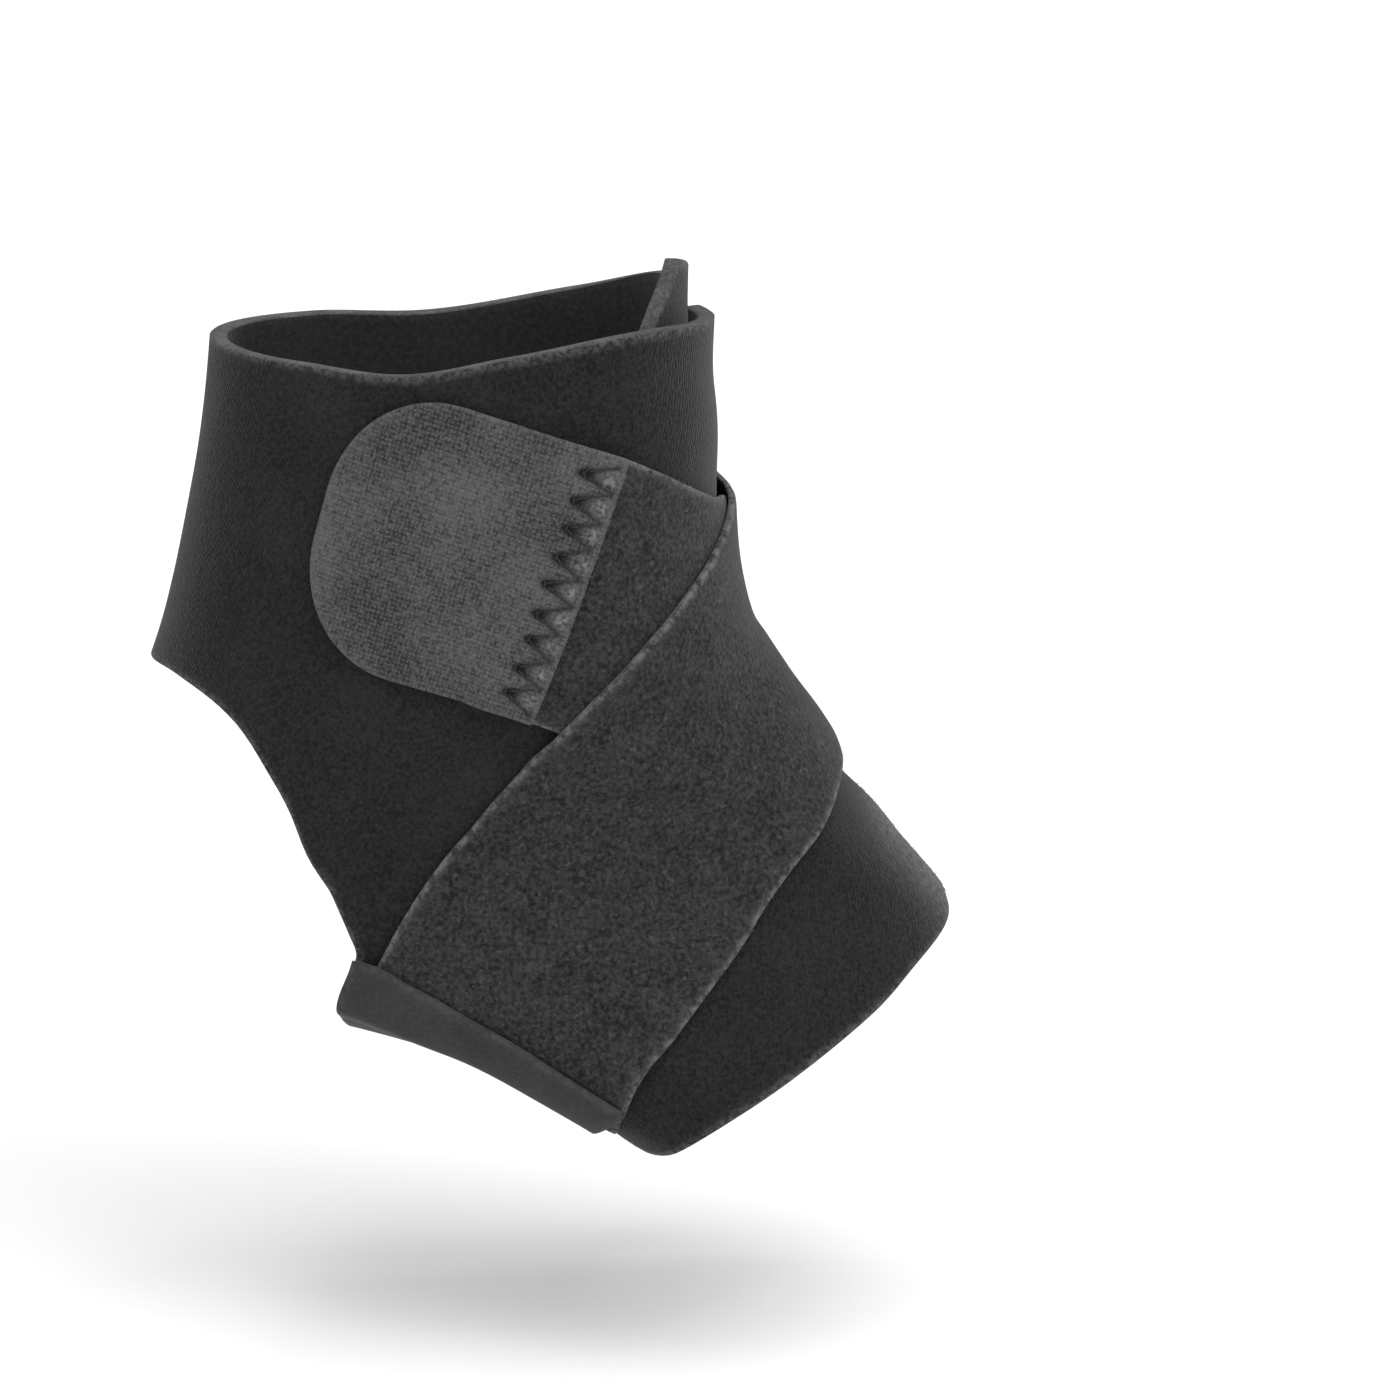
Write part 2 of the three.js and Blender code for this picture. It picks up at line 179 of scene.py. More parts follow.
# An input is a value, a socket, or a node whose first output is linked.
def addNode(tree, kind, inputs=None, **settings):
    node = tree.nodes.new(kind)
    for key, value in settings.items():
        setattr(node, key, value)
    for key, value in (inputs or {}).items():
        source = value.outputs[0] if isinstance(value, bpy.types.Node) else value
        if isinstance(source, bpy.types.NodeSocket):
            tree.links.new(source, node.inputs[key])
        else:
            node.inputs[key].default_value = source
    return node


def newMaterial(name, look):
    material = bpy.data.materials.new(name)
    material.use_nodes = True
    shader = material.node_tree.nodes["Principled BSDF"]
    shader.inputs["Roughness"].default_value = look["roughness"]
    shader.inputs["Specular IOR Level"].default_value = look["specular"]
    shader.inputs["Sheen Weight"].default_value = look["sheen"]
    shader.inputs["Sheen Roughness"].default_value = look["sheenRoughness"]
    return material, material.node_tree, shader


# Lays a look's tones over its dark one, each by its share, and takes the grain's height, with that of a
# pattern over it, to the bump.
def finishCloth(tree, shader, look, layers, grain, pattern=None):
    color = srgb(look["dark"])
    for share, tone in layers:
        color = addNode(tree, "ShaderNodeMix", {
            0: share, 6: color, 7: srgb(look[tone]),
        }, data_type="RGBA").outputs[2]
    tree.links.new(color, shader.inputs["Base Color"])
    height = grain
    if pattern is not None:
        height = addNode(tree, "ShaderNodeMath", {
            0: pattern, 1: look["relief"], 2: grain,
        }, operation="MULTIPLY_ADD")
    bump = addNode(tree, "ShaderNodeBump", {"Distance": look["bumpMm"] / 1000, "Height": height})
    tree.links.new(bump.outputs[0], shader.inputs["Normal"])


# Detail and roughness of a noise, the span of its values that is spread out, and what it is spread to.
speckles = {
    "grain": (3.0, 0.65, (0.33, 0.67), (0.0, 1.0)),
    "patch": (2.0, 0.5, (0.3, 0.7), (-1.0, 1.0)),
    "tuftHighlight": (4.0, 0.75, (0.42, 0.6), (0.12, 1.0)),
    "fleck": (1.0, 0.4, (0.64, 0.74), (0.0, 0.5)),
    "puff": (2.0, 0.5, (0.42, 0.6), (0.0, 0.7)),
}
waveScale = 314.16  # a wave texture's scale times the spacing of its bands in mm


# A noise of a size in mm, and the same spread out.
def speckle(tree, place, kind, size, strength=1.0):
    detail, roughness, (low, high), (least, most) = speckles[kind]
    noise = addNode(tree, "ShaderNodeTexNoise", {
        "Vector": place, "Scale": 1000 / size, "Detail": detail, "Roughness": roughness,
    })
    spread = addNode(tree, "ShaderNodeMapRange", {
        0: noise, 1: low, 2: high, 3: least * strength, 4: most * strength,
    })
    return noise, spread


# Share of the light tone: grain, with broad soft mottling over it.
def mottled(tree, look):
    place = addNode(tree, "ShaderNodeTexCoord").outputs["Object"]
    grain, fine = speckle(tree, place, "grain", look["grainMm"])
    _, broad = speckle(tree, place, "patch", look["patchMm"], look["patching"])
    return place, grain, addNode(tree, "ShaderNodeMath", {0: fine, 1: broad}, operation="ADD", use_clamp=True)


# Share of the lighter tone, where the mesh's nearEdge attribute rises to 1: worn fibres and a painted
# highlight along the edges.
def wornEdge(tree, look, place):
    near = addNode(tree, "ShaderNodeAttribute", attribute_name="nearEdge").outputs["Fac"]
    _, litTufts = speckle(tree, place, "tuftHighlight", look["tuftMm"])
    share = addNode(tree, "ShaderNodeMath", {0: near, 1: litTufts}, operation="MULTIPLY")
    return addNode(tree, "ShaderNodeMath", {0: share, 1: look["edgeLightening"]}, operation="MULTIPLY")


# Nylon jersey bonded to neoprene: matt black, a fine nap in slanting ribs that shows where light grazes it.
# The real ribs are about 0.3 mm apart and are drawn at twice that, as coarse as they need to show.
# Its lighter tone near the edges is worn fibres with a painted highlight along them.
jerseyLook = {
    "dark": "#121213", "light": "#2b2b2b", "grainMm": 0.75, "patchMm": 15, "patching": 0.16, "ribMm": 0.66,
    "ribTurn": 62, "ribTone": 0.2, "relief": 0.3, "worn": "#707070", "edgeLightening": 0.55, "tuftMm": 1.1,
    "bumpMm": 0.24, "roughness": 0.95, "specular": 0.12, "sheen": 0.16, "sheenRoughness": 0.4,
}


def jerseyFace(look):
    material, tree, shader = newMaterial("nylon_jersey_on_neoprene", look)
    place, grain, light = mottled(tree, look)
    flat = addNode(tree, "ShaderNodeUVMap", uv_map="cloth")
    turned = addNode(tree, "ShaderNodeMapping", {
        "Vector": flat, "Rotation": (0, 0, math.radians(look["ribTurn"])),
    })
    ribs = addNode(tree, "ShaderNodeTexWave", {
        "Vector": turned, "Scale": waveScale / look["ribMm"],
        "Distortion": 5.0, "Detail": 3.0, "Detail Scale": 2.4,
    }).outputs["Fac"]
    ribbed = addNode(tree, "ShaderNodeMath", {0: ribs, 1: look["ribTone"]}, operation="MULTIPLY")
    layers = ((light, "light"), (ribbed, "light"), (wornEdge(tree, look, place), "worn"))
    finishCloth(tree, shader, look, layers, grain, ribs)
    return material


# The lining is a smoother knit, a little lighter.
liningLook = {
    "dark": "#252525", "light": "#343434", "grainMm": 0.9, "patchMm": 16, "patching": 0.25, "bumpMm": 0.14,
    "roughness": 0.9, "specular": 0.12, "sheen": 0.1, "sheenRoughness": 0.4,
}


# Grain and nothing more, also for threads and fibres.
def plainFace(name, look):
    material, tree, shader = newMaterial(name, look)
    _, grain, light = mottled(tree, look)
    finishCloth(tree, shader, look, ((light, "light"),), grain)
    return material


# Cut foam: grayer than the cloth, with open cells of about half a millimetre.
foamLook = {
    "dark": "#3c3d3d", "light": "#5c5e5e", "cellMm": 0.5, "grainMm": 0.7, "patchMm": 6, "patching": 0.35,
    "relief": 0.6, "bumpMm": 0.2, "roughness": 0.95, "specular": 0.1, "sheen": 0.05, "sheenRoughness": 0.5,
}


def foamEdge(look):
    material, tree, shader = newMaterial("cut_neoprene_foam", look)
    place, grain, light = mottled(tree, look)
    cells = addNode(tree, "ShaderNodeTexVoronoi", {"Vector": place, "Scale": 1000 / look["cellMm"]})
    finishCloth(tree, shader, look, ((light, "light"),), grain, cells.outputs["Distance"])
    return material


# Unbroken loop pile: tiny loops in clumps, so a fine speckle with light flecks where a loop stands up. The
# real loops are about 0.4 mm wide and are drawn at twice that, so that they show.
# Near its edges a lighter tone: frayed fibres with a painted highlight along them.
loopLook = {
    "dark": "#181818", "light": "#3d3d3d", "grainMm": 0.85, "patchMm": 5.0, "patching": 0.14,
    "fleck": "#505050", "fleckMm": 1.1, "relief": 0.3, "worn": "#6e6e6e", "edgeLightening": 0.85, "tuftMm": 1.9,
    "bumpMm": 0.4, "roughness": 0.95, "specular": 0.1, "sheen": 0.11, "sheenRoughness": 0.45,
}


def loopPile(look):
    material, tree, shader = newMaterial("loop_pile_elastic", look)
    place, grain, light = mottled(tree, look)
    _, flecks = speckle(tree, place, "fleck", look["fleckMm"])
    layers = ((light, "light"), (flecks, "fleck"), (wornEdge(tree, look, place), "worn"))
    finishCloth(tree, shader, look, layers, grain, flecks)
    return material


# Woven back of hook tape: gray, an even speckle of warp and weft, sunk at its zigzag seam with painted shade
# in the groove and a painted shadow in each pit, and lighter puffs beside it that are fibre tufts with a
# painted highlight. Near its edges a lighter tone, worn fibres with a painted highlight. The real threads are
# about 0.5 mm apart and are drawn at 0.8 mm, so that they show.
wovenLook = {
    "dark": "#292929", "light": "#555555", "grainMm": 0.8, "patchMm": 19, "patching": 0.34, "threadMm": 0.8,
    "thread": "#727272", "knotSpan": (0.1, 0.85), "knotTone": 0.34, "relief": 0.3, "seam": "#1f1f1f",
    "tuftHighlight": "#868686", "worn": "#646464", "edgeLightening": 0.45, "tuftMm": 0.9, "bumpMm": 0.3,
    "roughness": 0.9, "specular": 0.18, "sheen": 0.1, "sheenRoughness": 0.4,
}


def wovenBack(look):
    material, tree, shader = newMaterial("woven_hook_tape_back", look)
    place, grain, light = mottled(tree, look)
    flat = addNode(tree, "ShaderNodeUVMap", uv_map="cloth")
    warp, weft = (
        addNode(tree, "ShaderNodeTexWave", {
            "Vector": flat, "Scale": waveScale / look["threadMm"],
            "Distortion": distortion, "Detail": 3.0, "Detail Scale": 3.0,
        }, bands_direction=direction).outputs["Fac"]
        for direction, distortion in (("X", 4.5), ("Y", 3.0))
    )
    knots = addNode(tree, "ShaderNodeMath", {0: warp, 1: weft}, operation="MULTIPLY")
    low, high = look["knotSpan"]
    knotted = addNode(tree, "ShaderNodeMapRange", {0: knots, 1: low, 2: high, 3: 0.0, 4: look["knotTone"]})
    worn = wornEdge(tree, look, place)
    # Lighter raised puffs by the seam: fibre tufts with a painted highlight on the raised cloth.
    puffed = addNode(tree, "ShaderNodeAttribute", attribute_name="puff").outputs["Fac"]
    _, tufts = speckle(tree, place, "puff", look["tuftMm"])
    litTufts = addNode(tree, "ShaderNodeMath", {0: puffed, 1: tufts}, operation="MULTIPLY")
    # Painted shade in the seam's groove and a painted shadow in each pit.
    sunk = addNode(tree, "ShaderNodeAttribute", attribute_name="seamShade").outputs["Fac"]
    layers = ((light, "light"), (knotted, "thread"), (worn, "worn"), (litTufts, "tuftHighlight"), (sunk, "seam"))
    finishCloth(tree, shader, look, layers, grain, knots)
    return material


# Smooth knit of the sole band: lighter than the wrap, hardly any grain.
# Near its edges a lighter tone: worn fibres with a painted highlight along them.
smoothLook = {
    "dark": "#2d2d2d", "light": "#383838", "grainMm": 0.7, "patchMm": 12, "patching": 0.3, "worn": "#525252",
    "edgeLightening": 0.4, "tuftMm": 2.0, "bumpMm": 0.1,
    "roughness": 0.85, "specular": 0.2, "sheen": 0.12, "sheenRoughness": 0.35,
}


def smoothKnit(look):
    material, tree, shader = newMaterial("smooth_knit_band", look)
    place, grain, light = mottled(tree, look)
    finishCloth(tree, shader, look, ((light, "light"), (wornEdge(tree, look, place), "worn")), grain)
    return material


# Bonded polyester thread, near black and slightly glossy.
threadLook = {
    "dark": "#1c1c1c", "light": "#303030", "grainMm": 0.4, "patchMm": 5, "patching": 0.2, "bumpMm": 0.04,
    "roughness": 0.6, "specular": 0.3, "sheen": 0.05, "sheenRoughness": 0.4,
}
# Loose fibre ends along cut edges, gray where they catch the light.
fibreLook = {
    "dark": "#555555", "light": "#8a8a8a", "grainMm": 1.5, "patchMm": 9, "patching": 0.5, "bumpMm": 0.02,
    "roughness": 0.8, "specular": 0.2, "sheen": 0.1, "sheenRoughness": 0.4,
}


materials = {
    "jersey": jerseyFace(jerseyLook),
    "lining": plainFace("jersey_lining", liningLook),
    "foam": foamEdge(foamLook),
    "loop": loopPile(loopLook),
    "woven": wovenBack(wovenLook),
    "smooth": smoothKnit(smoothLook),
    "thread": plainFace("polyester_thread", threadLook),
    "fibre": plainFace("loose_fibre", fibreLook),
}
print("materials made")


def smoothMesh(name, points, faces):
    mesh = bpy.data.meshes.new(name)
    mesh.from_pydata(points, [], faces)
    mesh.polygons.foreach_set("use_smooth", [True] * len(faces))
    return mesh


def addPiece(name, mesh):
    piece = bpy.data.objects.new(name, mesh)
    bpy.context.scene.collection.objects.link(piece)
    return piece


# A solid sheet of cloth from a net of places with a low and a high face, in mm: the high and the low face
# take the first two materials, and the rounded rim between them the third.
def clothPiece(name, net, rim, finishes):
    station, angle = net["station"], net["angle"]
    normal = outward(station, angle)
    dents = softDents(station, angle)
    high = formPoint(station, angle) + normal * (net["high"] + dents)[:, None]
    low = formPoint(station, angle) + normal * (net["low"] + dents)[:, None]
    cells = net["cells"]
    facing = np.cross(high[cells[:, 1]] - high[cells[:, 0]], high[cells[:, 3]] - high[cells[:, 0]])
    if dot(facing, normal[cells[:, 0]]).sum() < 0:
        cells = cells[:, ::-1]
        facing = -facing
    area = np.linalg.norm(facing, axis=1).sum() / 1e6
    count = len(high)
    sides = np.concatenate([cells[:, [k, (k + 1) % 4]] for k in range(4)])
    border = sides[~np.isin(sides[:, 0] * count + sides[:, 1], sides[:, 1] * count + sides[:, 0])]
    edge = np.unique(border)
    spot = np.full(count, -1)
    spot[edge] = np.arange(len(edge))
    aside = np.zeros((count, 3))
    for end in (0, 1):
        run = unit(high[border[:, 1]] - high[border[:, 0]])
        np.add.at(aside, border[:, end], np.cross(run, normal[border[:, end]]))
    aside = unit(aside[edge])
    rings = []
    for share in rim["rings"]:
        push = rim["bulge"] * math.sqrt(max(0.0, 1 - (2 * share - 1) ** 4))
        rings.append(high[edge] * (1 - share) + low[edge] * share + aside * push)
    levels = [border, *[spot[border] + 2 * count + k * len(edge) for k in range(len(rings))], border + count]
    walls = [
        np.stack([upper[:, 1], upper[:, 0], lower[:, 0], lower[:, 1]], axis=1)
        for upper, lower in zip(levels, levels[1:])
    ]
    faces = np.concatenate([cells, cells[:, ::-1] + count, *walls])
    mesh = smoothMesh(name, (np.concatenate([high, low, *rings]) / 1000).tolist(), faces.tolist())
    for finish in finishes:
        mesh.materials.append(materials[finish])
    part = np.repeat([0, 1, 2], [len(cells), len(cells), len(faces) - 2 * len(cells)])
    mesh.polygons.foreach_set("material_index", part.astype(np.int32))
    tree = KDTree(len(edge))
    for k, index in enumerate(edge):
        tree.insert(high[index], k)
    tree.balance()
    # nearEdge, near 1 at the rims, lightens the colour there: worn fibres and a painted highlight along the
    # edges.
    toEdge = np.array([tree.find(point)[2] for point in high])
    worn = np.maximum(np.exp(-toEdge / rim["edgeLighteningMm"]), net.get("worn", 0))
    fields = {"nearEdge": worn, **net.get("fields", {})}
    for key, values in fields.items():
        spread = np.concatenate([values, values, *[values[edge]] * len(rings)])
        mesh.attributes.new(key, "FLOAT", "POINT").data.foreach_set("value", spread.astype(np.float32))
    flat = np.concatenate([net["flat"], net["flat"], *[net["flat"][edge]] * len(rings)]) / 1000
    corner = np.zeros(len(mesh.loops), np.int32)
    mesh.loops.foreach_get("vertex_index", corner)
    mesh.uv_layers.new(name="cloth").data.foreach_set("uv", flat[corner].astype(np.float32).ravel())
    mesh.update()
    print(name, "area", round(area, 5), "faces", len(faces))
    return addPiece(name, mesh)


def gridCells(rowCount, columnCount, offset=0):
    index = np.arange((rowCount + 1) * (columnCount + 1)).reshape(rowCount + 1, columnCount + 1) + offset
    return np.stack([index[:-1, :-1], index[:-1, 1:], index[1:, 1:], index[1:, :-1]], axis=-1).reshape(-1, 4)


# The wrap is one sheet wound once round, from the outer wing's free edge to the inner wing's beneath it.
wrap = {
    "outerEdge": [[0, -20], [8, -22], [10, -12], [12, -3], [14, -2]],  # station, angle
    "innerEdge": [[0, 372], [1, 394], [2.5, 405], [6, 405], [10, 394], [12, 382], [14, 371]],
    "topEdge": [  # angle, station
        [-20, 1.02], [5, 0.97], [40, 0.87], [74, 1.02], [100, 1.18], [127, 1.06], [175, 0.98], [235, 1.06],
        [262, 1.16], [300, 0.92], [330, 0.68], [352, 0.56], [368, 0.34], [384, 0.22], [410, 0.22],
    ],
    "toeEdge": [
        [-5, 13.25], [12, 13.58], [41, 13.72], [63, 13.90], [102, 14.06], [130, 14.08], [142, 13.98],
        [151, 13.60], [159, 13.25], [180, 13.20], [201, 13.25], [209, 13.60], [220, 13.98], [258, 14.06],
        [300, 13.88], [330, 13.72], [372, 13.78],
    ],
    "heelRim": [[4.95, 10.06], [4.95, 9.80], [5.35, 9.06], [6.30, 8.34], [7.35, 7.35]],  # upper, lower
    "heelHalfAngle": 74.5,
    # mm by which the top stands off at the front, the station and angle where that ends, and over how much
    "topFlare": {"lift": 1.5, "station": 1.7, "over": 0.8, "angle": 34, "across": 40},
    "innerStart": 200,  # angle past which the sheet lies beneath, as the inner wing
    "innerMargin": 3,  # degrees past the inner wing's edge at which the outer wing starts to come down
    "settleAngle": 36,  # over which it does
    "outerMargin": 2,  # degrees past the outer wing's free edge at which what lies on it comes down
    "bridgeAngle": 28,  # over which it does
    "worn": {"angle": 22, "station": 9.9, "over": 1.3, "strength": 1.5},  # lighter by the free edge: rubbed fibres with a painted highlight where it faces the light
    "columns": (92, 60, 100),
    "rows": (56, 52),
    "firstStation": 7.0,  # stations and angles of the net depend on each other, and settle in a few rounds
    "rounds": 8,
    "patternMm": (11, 0.65),  # mm per station and per degree, for patterns of the cloth only
    "rim": {"bulge": 0.3, "rings": (0.07, 0.22, 0.5, 0.78, 0.93), "edgeLighteningMm": 0.45},
}
outerEdgeAngle = curveThrough(wrap["outerEdge"])
innerEdgeAngle = curveThrough(wrap["innerEdge"])
topStation = curveThrough(wrap["topEdge"])
toeStation = curveThrough(wrap["toeEdge"])


def wrapUnderside(station, angle):
    flare = wrap["topFlare"]
    edge = innerEdgeAngle(station) - 360 + wrap["innerMargin"]
    over = climb((edge + wrap["settleAngle"] - angle) / wrap["settleAngle"])
    bell = climb((flare["station"] - station) / flare["over"])
    bell = bell * climb((flare["angle"] - angle) / flare["across"])
    lift = (cloth["neoprene"] + cloth["gap"]) * over + flare["lift"] * bell
    return np.where(angle > wrap["innerStart"], 0, lift)


def wrapTop(station, angle):
    edge = outerEdgeAngle(station) - wrap["outerMargin"]
    past = climb(1 - (edge - angle) / wrap["bridgeAngle"])
    under = np.where(angle >= edge, wrapUnderside(station, angle), wrapUnderside(station, edge) * past)
    return cloth["neoprene"] + under


# Height at which the next layer lies on the wrap.
def bed(station, angle):
    folded = np.where(angle > 180, angle - 360, np.where(angle < -180, angle + 360, angle))
    return cloth["gap"] + wrapTop(station, folded)


def wrapNet():
    wing, heel, inner = wrap["columns"]
    cuffRows, footRows = wrap["rows"]
    columns = wing + heel + inner
    column = np.arange(columns + 1)
    half = wrap["heelHalfAngle"]
    atHeel = (column > wing) & (column < wing + heel)
    share = np.abs(2 * (column - wing) / heel - 1)
    rim = betweenRows(wrap["heelRim"], np.minimum(share, 1) * (len(wrap["heelRim"]) - 1))
    meeting = wrap["heelRim"][-1][0]
    cuffEnd = np.where(atHeel, rim[:, 0], meeting)
    footStart = np.where(atHeel, rim[:, 1], meeting)

    def angleAt(station):
        front = outerEdgeAngle(station)
        first = front + (180 - half - front) * column / wing
        middle = 180 + half * np.sin(np.radians((2 * np.clip((column - wing) / heel, 0, 1) - 1) * 90))
        back = innerEdgeAngle(station)
        last = 180 + half + (back - 180 - half) * (column - wing - heel) / inner
        return np.where(column <= wing, first, np.where(column <= wing + heel, middle, last))

    def block(rowCount, start, end):
        row = np.arange(rowCount + 1)[:, None] / rowCount
        station = np.full((rowCount + 1, columns + 1), wrap["firstStation"])
        for _ in range(wrap["rounds"]):
            angle = angleAt(station)
            station = start(angle) + (end(angle) - start(angle)) * row
        return station, angle

    cuff = block(cuffRows, topStation, lambda angle: np.broadcast_to(cuffEnd, angle.shape))
    foot = block(footRows, lambda angle: np.broadcast_to(footStart, angle.shape), toeStation)
    station = np.concatenate([cuff[0].ravel(), foot[0].ravel()])
    angle = np.concatenate([cuff[1].ravel(), foot[1].ravel()])
    offset = (cuffRows + 1) * (columns + 1)
    joined = np.arange(len(station))
    seam = np.where(~atHeel)[0]
    joined[offset + seam] = cuffRows * (columns + 1) + seam
    cells = joined[np.concatenate([gridCells(cuffRows, columns), gridCells(footRows, columns, offset)])]
    used, cells = np.unique(cells, return_inverse=True)
    station, angle = station[used], angle[used]
    low = wrapUnderside(station, angle)
    # A lighter band by the outer wing's free edge on the foot: rubbed fibres and a painted highlight.
    worn = wrap["worn"]
    fromEdge = (angle - outerEdgeAngle(station)) / worn["angle"]
    rubbedAndLit = np.exp(-(fromEdge**2)) * climb((station - worn["station"]) / worn["over"]) * worn["strength"]
    perStation, perDegree = wrap["patternMm"]
    return {
        "station": station, "angle": angle, "low": low, "high": low + cloth["neoprene"], "worn": rubbedAndLit,
        "cells": cells.reshape(-1, 4), "flat": np.stack([station * perStation, angle * perDegree], axis=1),
    }


thinRings = (0.12, 0.35, 0.65, 0.88)  # levels of a thin cloth's rounded rim, from its upper face down

# A strap starts under the sole band and winds up over the instep to the other side.
strap = {
    "line": [
        [12.5, 178], [11.7, 150], [11.05, 123], [10.04, 97], [8.97, 75], [7.9, 55.5], [7.02, 35], [6.2, 14],
        [5.5, -6], [4.82, -25], [4.2, -44], [3.7, -62], [3.2, -90], [2.83, -115.2],
    ],
    "width": 50.8,
    "hem": 9.0,  # how far it runs on under the tab
    "bridge": (1, 8),  # mm past the lower strap's edge between which the upper one comes down
    "edgeThinning": {"depth": 0.3, "from": 0.93, "over": 0.07},  # shares of the half width
    "sway": ((0.10, 6.1, 1), (0.05, 1.9, 2)),  # of the edges: size and length in mm, and times the phase
    "headingRows": 0.3,
    "samples": 401,
    "columns": 60,
    "rows": 200,
    "rim": {"bulge": 0.35, "rings": thinRings, "edgeLighteningMm": 0.55},
}
strapLayer = 8.0  # height over the form at which a strap's course is laid out
strapClimb = cloth["strap"] + cloth["gap"]
stride = {"count": 8, "station": 0.2, "angle": 1}  # steps of a walk, and how far round each the form is felt


# Places reached over the form from a start, going straight for a distance at the straps' height.
def walk(start, direction, distance):
    step = np.abs(distance) / stride["count"]
    heading = direction * np.sign(distance)[..., None]
    station, angle = start[..., 0].copy(), start[..., 1].copy()
    ahead, aside = stride["station"], stride["angle"]
    for _ in range(stride["count"]):
        along = lifted(station + ahead, angle, strapLayer) - lifted(station - ahead, angle, strapLayer)
        around = lifted(station, angle + aside, strapLayer) - lifted(station, angle - aside, strapLayer)
        along, around = along / (2 * ahead), around / (2 * aside)
        alongSquare, aroundSquare, shared = dot(along, along), dot(around, around), dot(along, around)
        square = alongSquare * aroundSquare - shared**2
        stationShare = (dot(heading, along) * aroundSquare - dot(heading, around) * shared) / square
        angleShare = (dot(heading, around) * alongSquare - dot(heading, along) * shared) / square
        heading = along * stationShare[..., None] + around * angleShare[..., None]
        size = np.maximum(np.linalg.norm(heading, axis=-1), 1e-9)
        heading = heading / size[..., None]
        station = station + stationShare / size * step
        angle = angle + angleShare / size * step
    return station, angle


# side is 1 for the strap that starts on the outer side of the foot, -1 for its mirror image.
class StrapCourse:
    def __init__(self, side):
        self.side = side
        self.line = [[station, angle * side] for station, angle in strap["line"]]
        self.row = np.linspace(0, len(strap["line"]) - 1, strap["samples"])
        middle = betweenRows(self.line, self.row)
        self.samples = lifted(middle[:, 0], middle[:, 1], strapLayer)
        steps = np.linalg.norm(np.diff(self.samples, axis=0), axis=1)
        self.lengths = np.concatenate([[0], np.cumsum(steps)])
        self.length = self.lengths[-1]

    def place(self, distance, aside):
        distance, aside = np.broadcast_arrays(np.asarray(distance, float), np.asarray(aside, float))
        row = np.interp(distance, self.lengths, self.row)
        middle = betweenRows(self.line, row)
        spots = [easedRows(self.line, row + shift) for shift in (strap["headingRows"], -strap["headingRows"])]
        ahead, behind = (lifted(spot[..., 0], spot[..., 1], strapLayer) for spot in spots)
        sideways = np.cross(outward(middle[..., 0], middle[..., 1]), unit(ahead - behind)) * -self.side
        return walk(middle, unit(sideways), aside)

    # Distance of points from the strap's middle line, some at a time to spare memory.
    def offset(self, points, atOnce=1500):
        flat = points.reshape(-1, 3)
        start, step = self.samples[:-1], np.diff(self.samples, axis=0)
        nearest = []
        for some in np.array_split(flat, max(1, len(flat) // atOnce)):
            along = ((some[:, None] - start) * step).sum(-1) / (step * step).sum(-1)
            foot = start + np.clip(along, 0, 1)[..., None] * step
            nearest.append(np.linalg.norm(some[:, None] - foot, axis=-1).min(axis=1))
        return np.concatenate(nearest).reshape(points.shape[:-1])


lateralCourse = StrapCourse(1)
medialCourse = StrapCourse(-1)


def flatOnWrap(station, angle):
    return np.zeros(np.shape(station + angle))


def overMedialStrap(station, angle):
    raised, level = strap["bridge"]
    away = medialCourse.offset(lifted(station, angle, strapLayer)) - strap["width"] / 2
    return strapClimb * climb((level - away) / (level - raised))


# The smooth band under the arch, sewn over the starts of both straps.
band = {
    "halfAngle": [[8.3, 67], [9.5, 61], [11, 55], [12.5, 53], [13.4, 53]],  # station, angle from the middle
    "toeStation": 13.05,
    "heelInset": -0.03,
    "strapInset": 12,  # degrees by which a strap's start lies inside the band's edge
    "climbAngle": 9,  # degrees over which the band climbs onto it
    "columns": 96,
    "rows": 50,
    "firstStation": 11.0,
    "rounds": 10,
    "patternMm": (8, 0.7),
    "rim": {"bulge": 0.45, "rings": thinRings, "edgeLighteningMm": 0.7},
}
bandEdgeAngle = curveThrough(band["halfAngle"])


def strapCut(station):
    return bandEdgeAngle(station) - band["strapInset"]


def bandNet():
    columns, rows = band["columns"], band["rows"]
    across = np.broadcast_to(np.linspace(-1, 1, columns + 1), (rows + 1, columns + 1))
    row = np.linspace(0, 1, rows + 1)[:, None]
    station = np.full((rows + 1, columns + 1), band["firstStation"])
    for _ in range(band["rounds"]):
        angle = 180 + bandEdgeAngle(station) * across
        share = np.arcsin(np.minimum(np.abs(angle - 180) / wrap["heelHalfAngle"], 1)) / (math.pi / 2)
        heelEnd = betweenRows(wrap["heelRim"], share * (len(wrap["heelRim"]) - 1))[..., 1] + band["heelInset"]
        station = heelEnd + (band["toeStation"] - heelEnd) * row
    over = climb((np.abs(angle - 180) - strapCut(station) + band["climbAngle"]) / band["climbAngle"])
    low = bed(station, angle) + strapClimb * over
    station, angle, low = station.ravel(), angle.ravel(), low.ravel()
    perStation, perDegree = band["patternMm"]
    return {
        "station": station, "angle": angle, "low": low, "high": low + cloth["panel"],
        "cells": gridCells(rows, columns),
        "flat": np.stack([station * perStation, (angle - 180) * perDegree], axis=1),
    }


# Distance along a strap's course at which each line across it comes out from its cut start, by halving.
def startOfLine(course, aside, farthest=90.0, halvings=22):
    near, far = np.zeros_like(aside), np.full_like(aside, farthest)
    for _ in range(halvings):
        middle = (near + far) / 2
        station, angle = course.place(middle, aside)
        before = 180 - np.abs(angle) < strapCut(station)
        near, far = np.where(before, middle, near), np.where(before, far, middle)
    return (near + far) / 2


